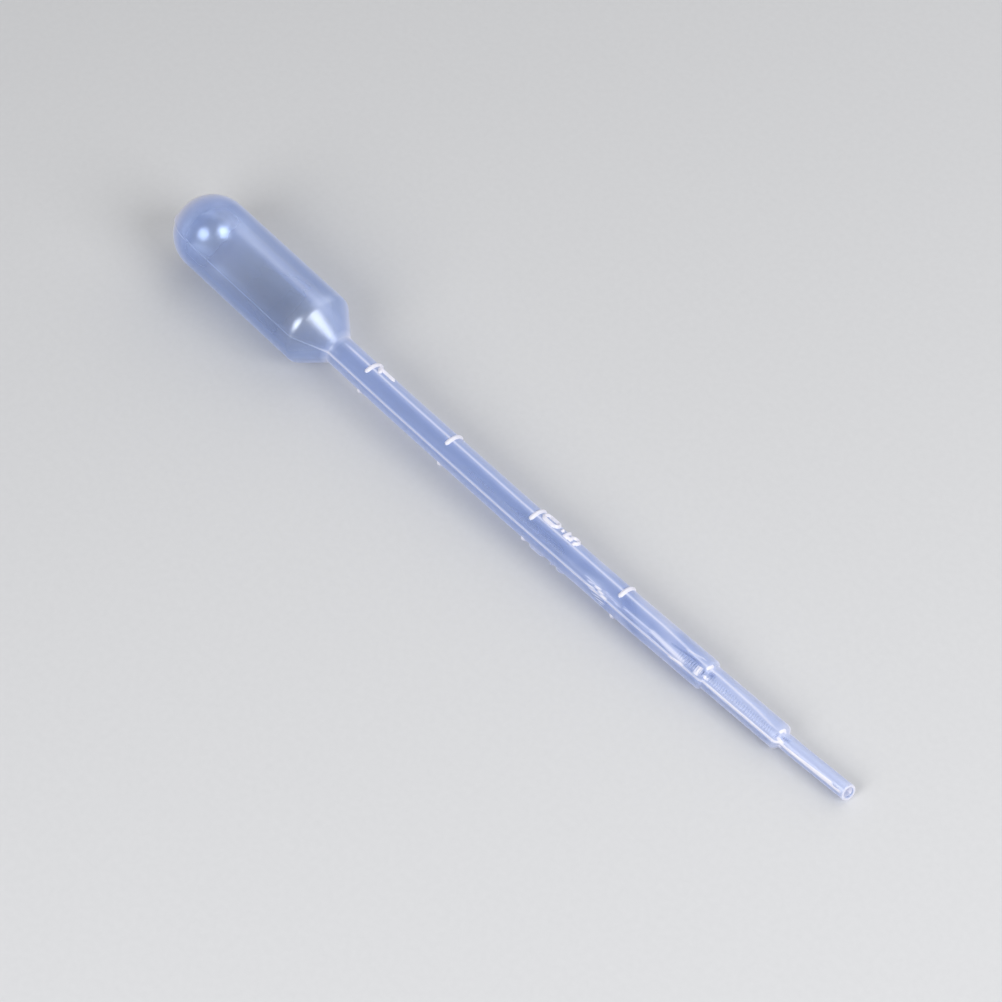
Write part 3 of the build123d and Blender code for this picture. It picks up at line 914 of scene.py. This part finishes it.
# ---- floor, light and camera, in metres ----
FLOOR_REACH = 4.0
floor_mesh = bpy.data.meshes.new("floor")
corners = [(x * FLOOR_REACH, y * FLOOR_REACH, 0) for x, y in ((-1, -1), (1, -1), (1, 1), (-1, 1))]
floor_mesh.from_pydata(corners, [], [(0, 1, 2, 3)])
floor = bpy.data.objects.new("floor", floor_mesh)
floor_mesh.materials.append(floor_material())
bpy.context.scene.collection.objects.link(floor)


def towards(azimuth, elevation):
    """Unit vector from the object towards a place round it; azimuth 0 is on the -Y side."""
    a, e = radians(azimuth), radians(elevation)
    return Vector((sin(a) * cos(e), -cos(a) * cos(e), sin(e)))


def soft_box(name, azimuth, elevation, distance, size, radiance):
    """A round area lamp that faces the object."""
    lamp = bpy.data.lights.new(name, "AREA")
    lamp.shape = "DISK"
    lamp.size = size
    lamp.energy = pi * (pi / 4 * size * size) * radiance
    holder = bpy.data.objects.new(name, lamp)
    direction = towards(azimuth, elevation)
    holder.location = direction * distance
    holder.rotation_euler = direction.to_track_quat("Z", "Y").to_euler()
    bpy.context.scene.collection.objects.link(holder)


soft_box("right_soft_box", azimuth=97, elevation=38, distance=0.62, size=0.41, radiance=5.1)
soft_box("left_soft_box", azimuth=5, elevation=36, distance=0.62, size=0.41, radiance=5.1)
soft_box("back_soft_box", azimuth=183, elevation=42, distance=0.9, size=1.2, radiance=1.1)

AMBIENT = 0.18
BACKDROP = (0.66, 0.665, 0.68, 1)
world = bpy.data.worlds.new("studio")
world.use_nodes = True
w = Tree(world.node_tree)
rays = w.add("ShaderNodeLightPath")
seen = rays.outputs["Is Camera Ray"]
for kind in ("Is Transmission Ray", "Is Glossy Ray"):
    seen = w.math("MAXIMUM", seen, rays.outputs[kind])
light = w.add("ShaderNodeBackground", {"Color": (1, 1, 1, 1), "Strength": AMBIENT}).outputs[0]
backdrop = w.add("ShaderNodeBackground", {"Color": BACKDROP, "Strength": 1.0}).outputs[0]
mixed = w.add("ShaderNodeMixShader", {0: seen, 1: light, 2: backdrop}).outputs[0]
w.add("ShaderNodeOutputWorld", {"Surface": mixed})
bpy.context.scene.world = world

CAMERA_AIM = Vector((0.00226, -0.000115, 0.0040))
CAMERA_DISTANCE = 0.464
CAMERA_AZIMUTH, CAMERA_ELEVATION = 47.20, 54.08
camera = bpy.data.objects.new("camera", bpy.data.cameras.new("camera"))
camera.data.lens = 105
camera.data.sensor_width = 36
camera.data.clip_start = 0.01
camera_side = towards(CAMERA_AZIMUTH, CAMERA_ELEVATION)
camera.location = CAMERA_AIM + camera_side * CAMERA_DISTANCE
camera.rotation_euler = camera_side.to_track_quat("Z", "Y").to_euler()
bpy.context.scene.collection.objects.link(camera)
bpy.context.scene.camera = camera
bpy.context.scene.view_settings.view_transform = "Standard"
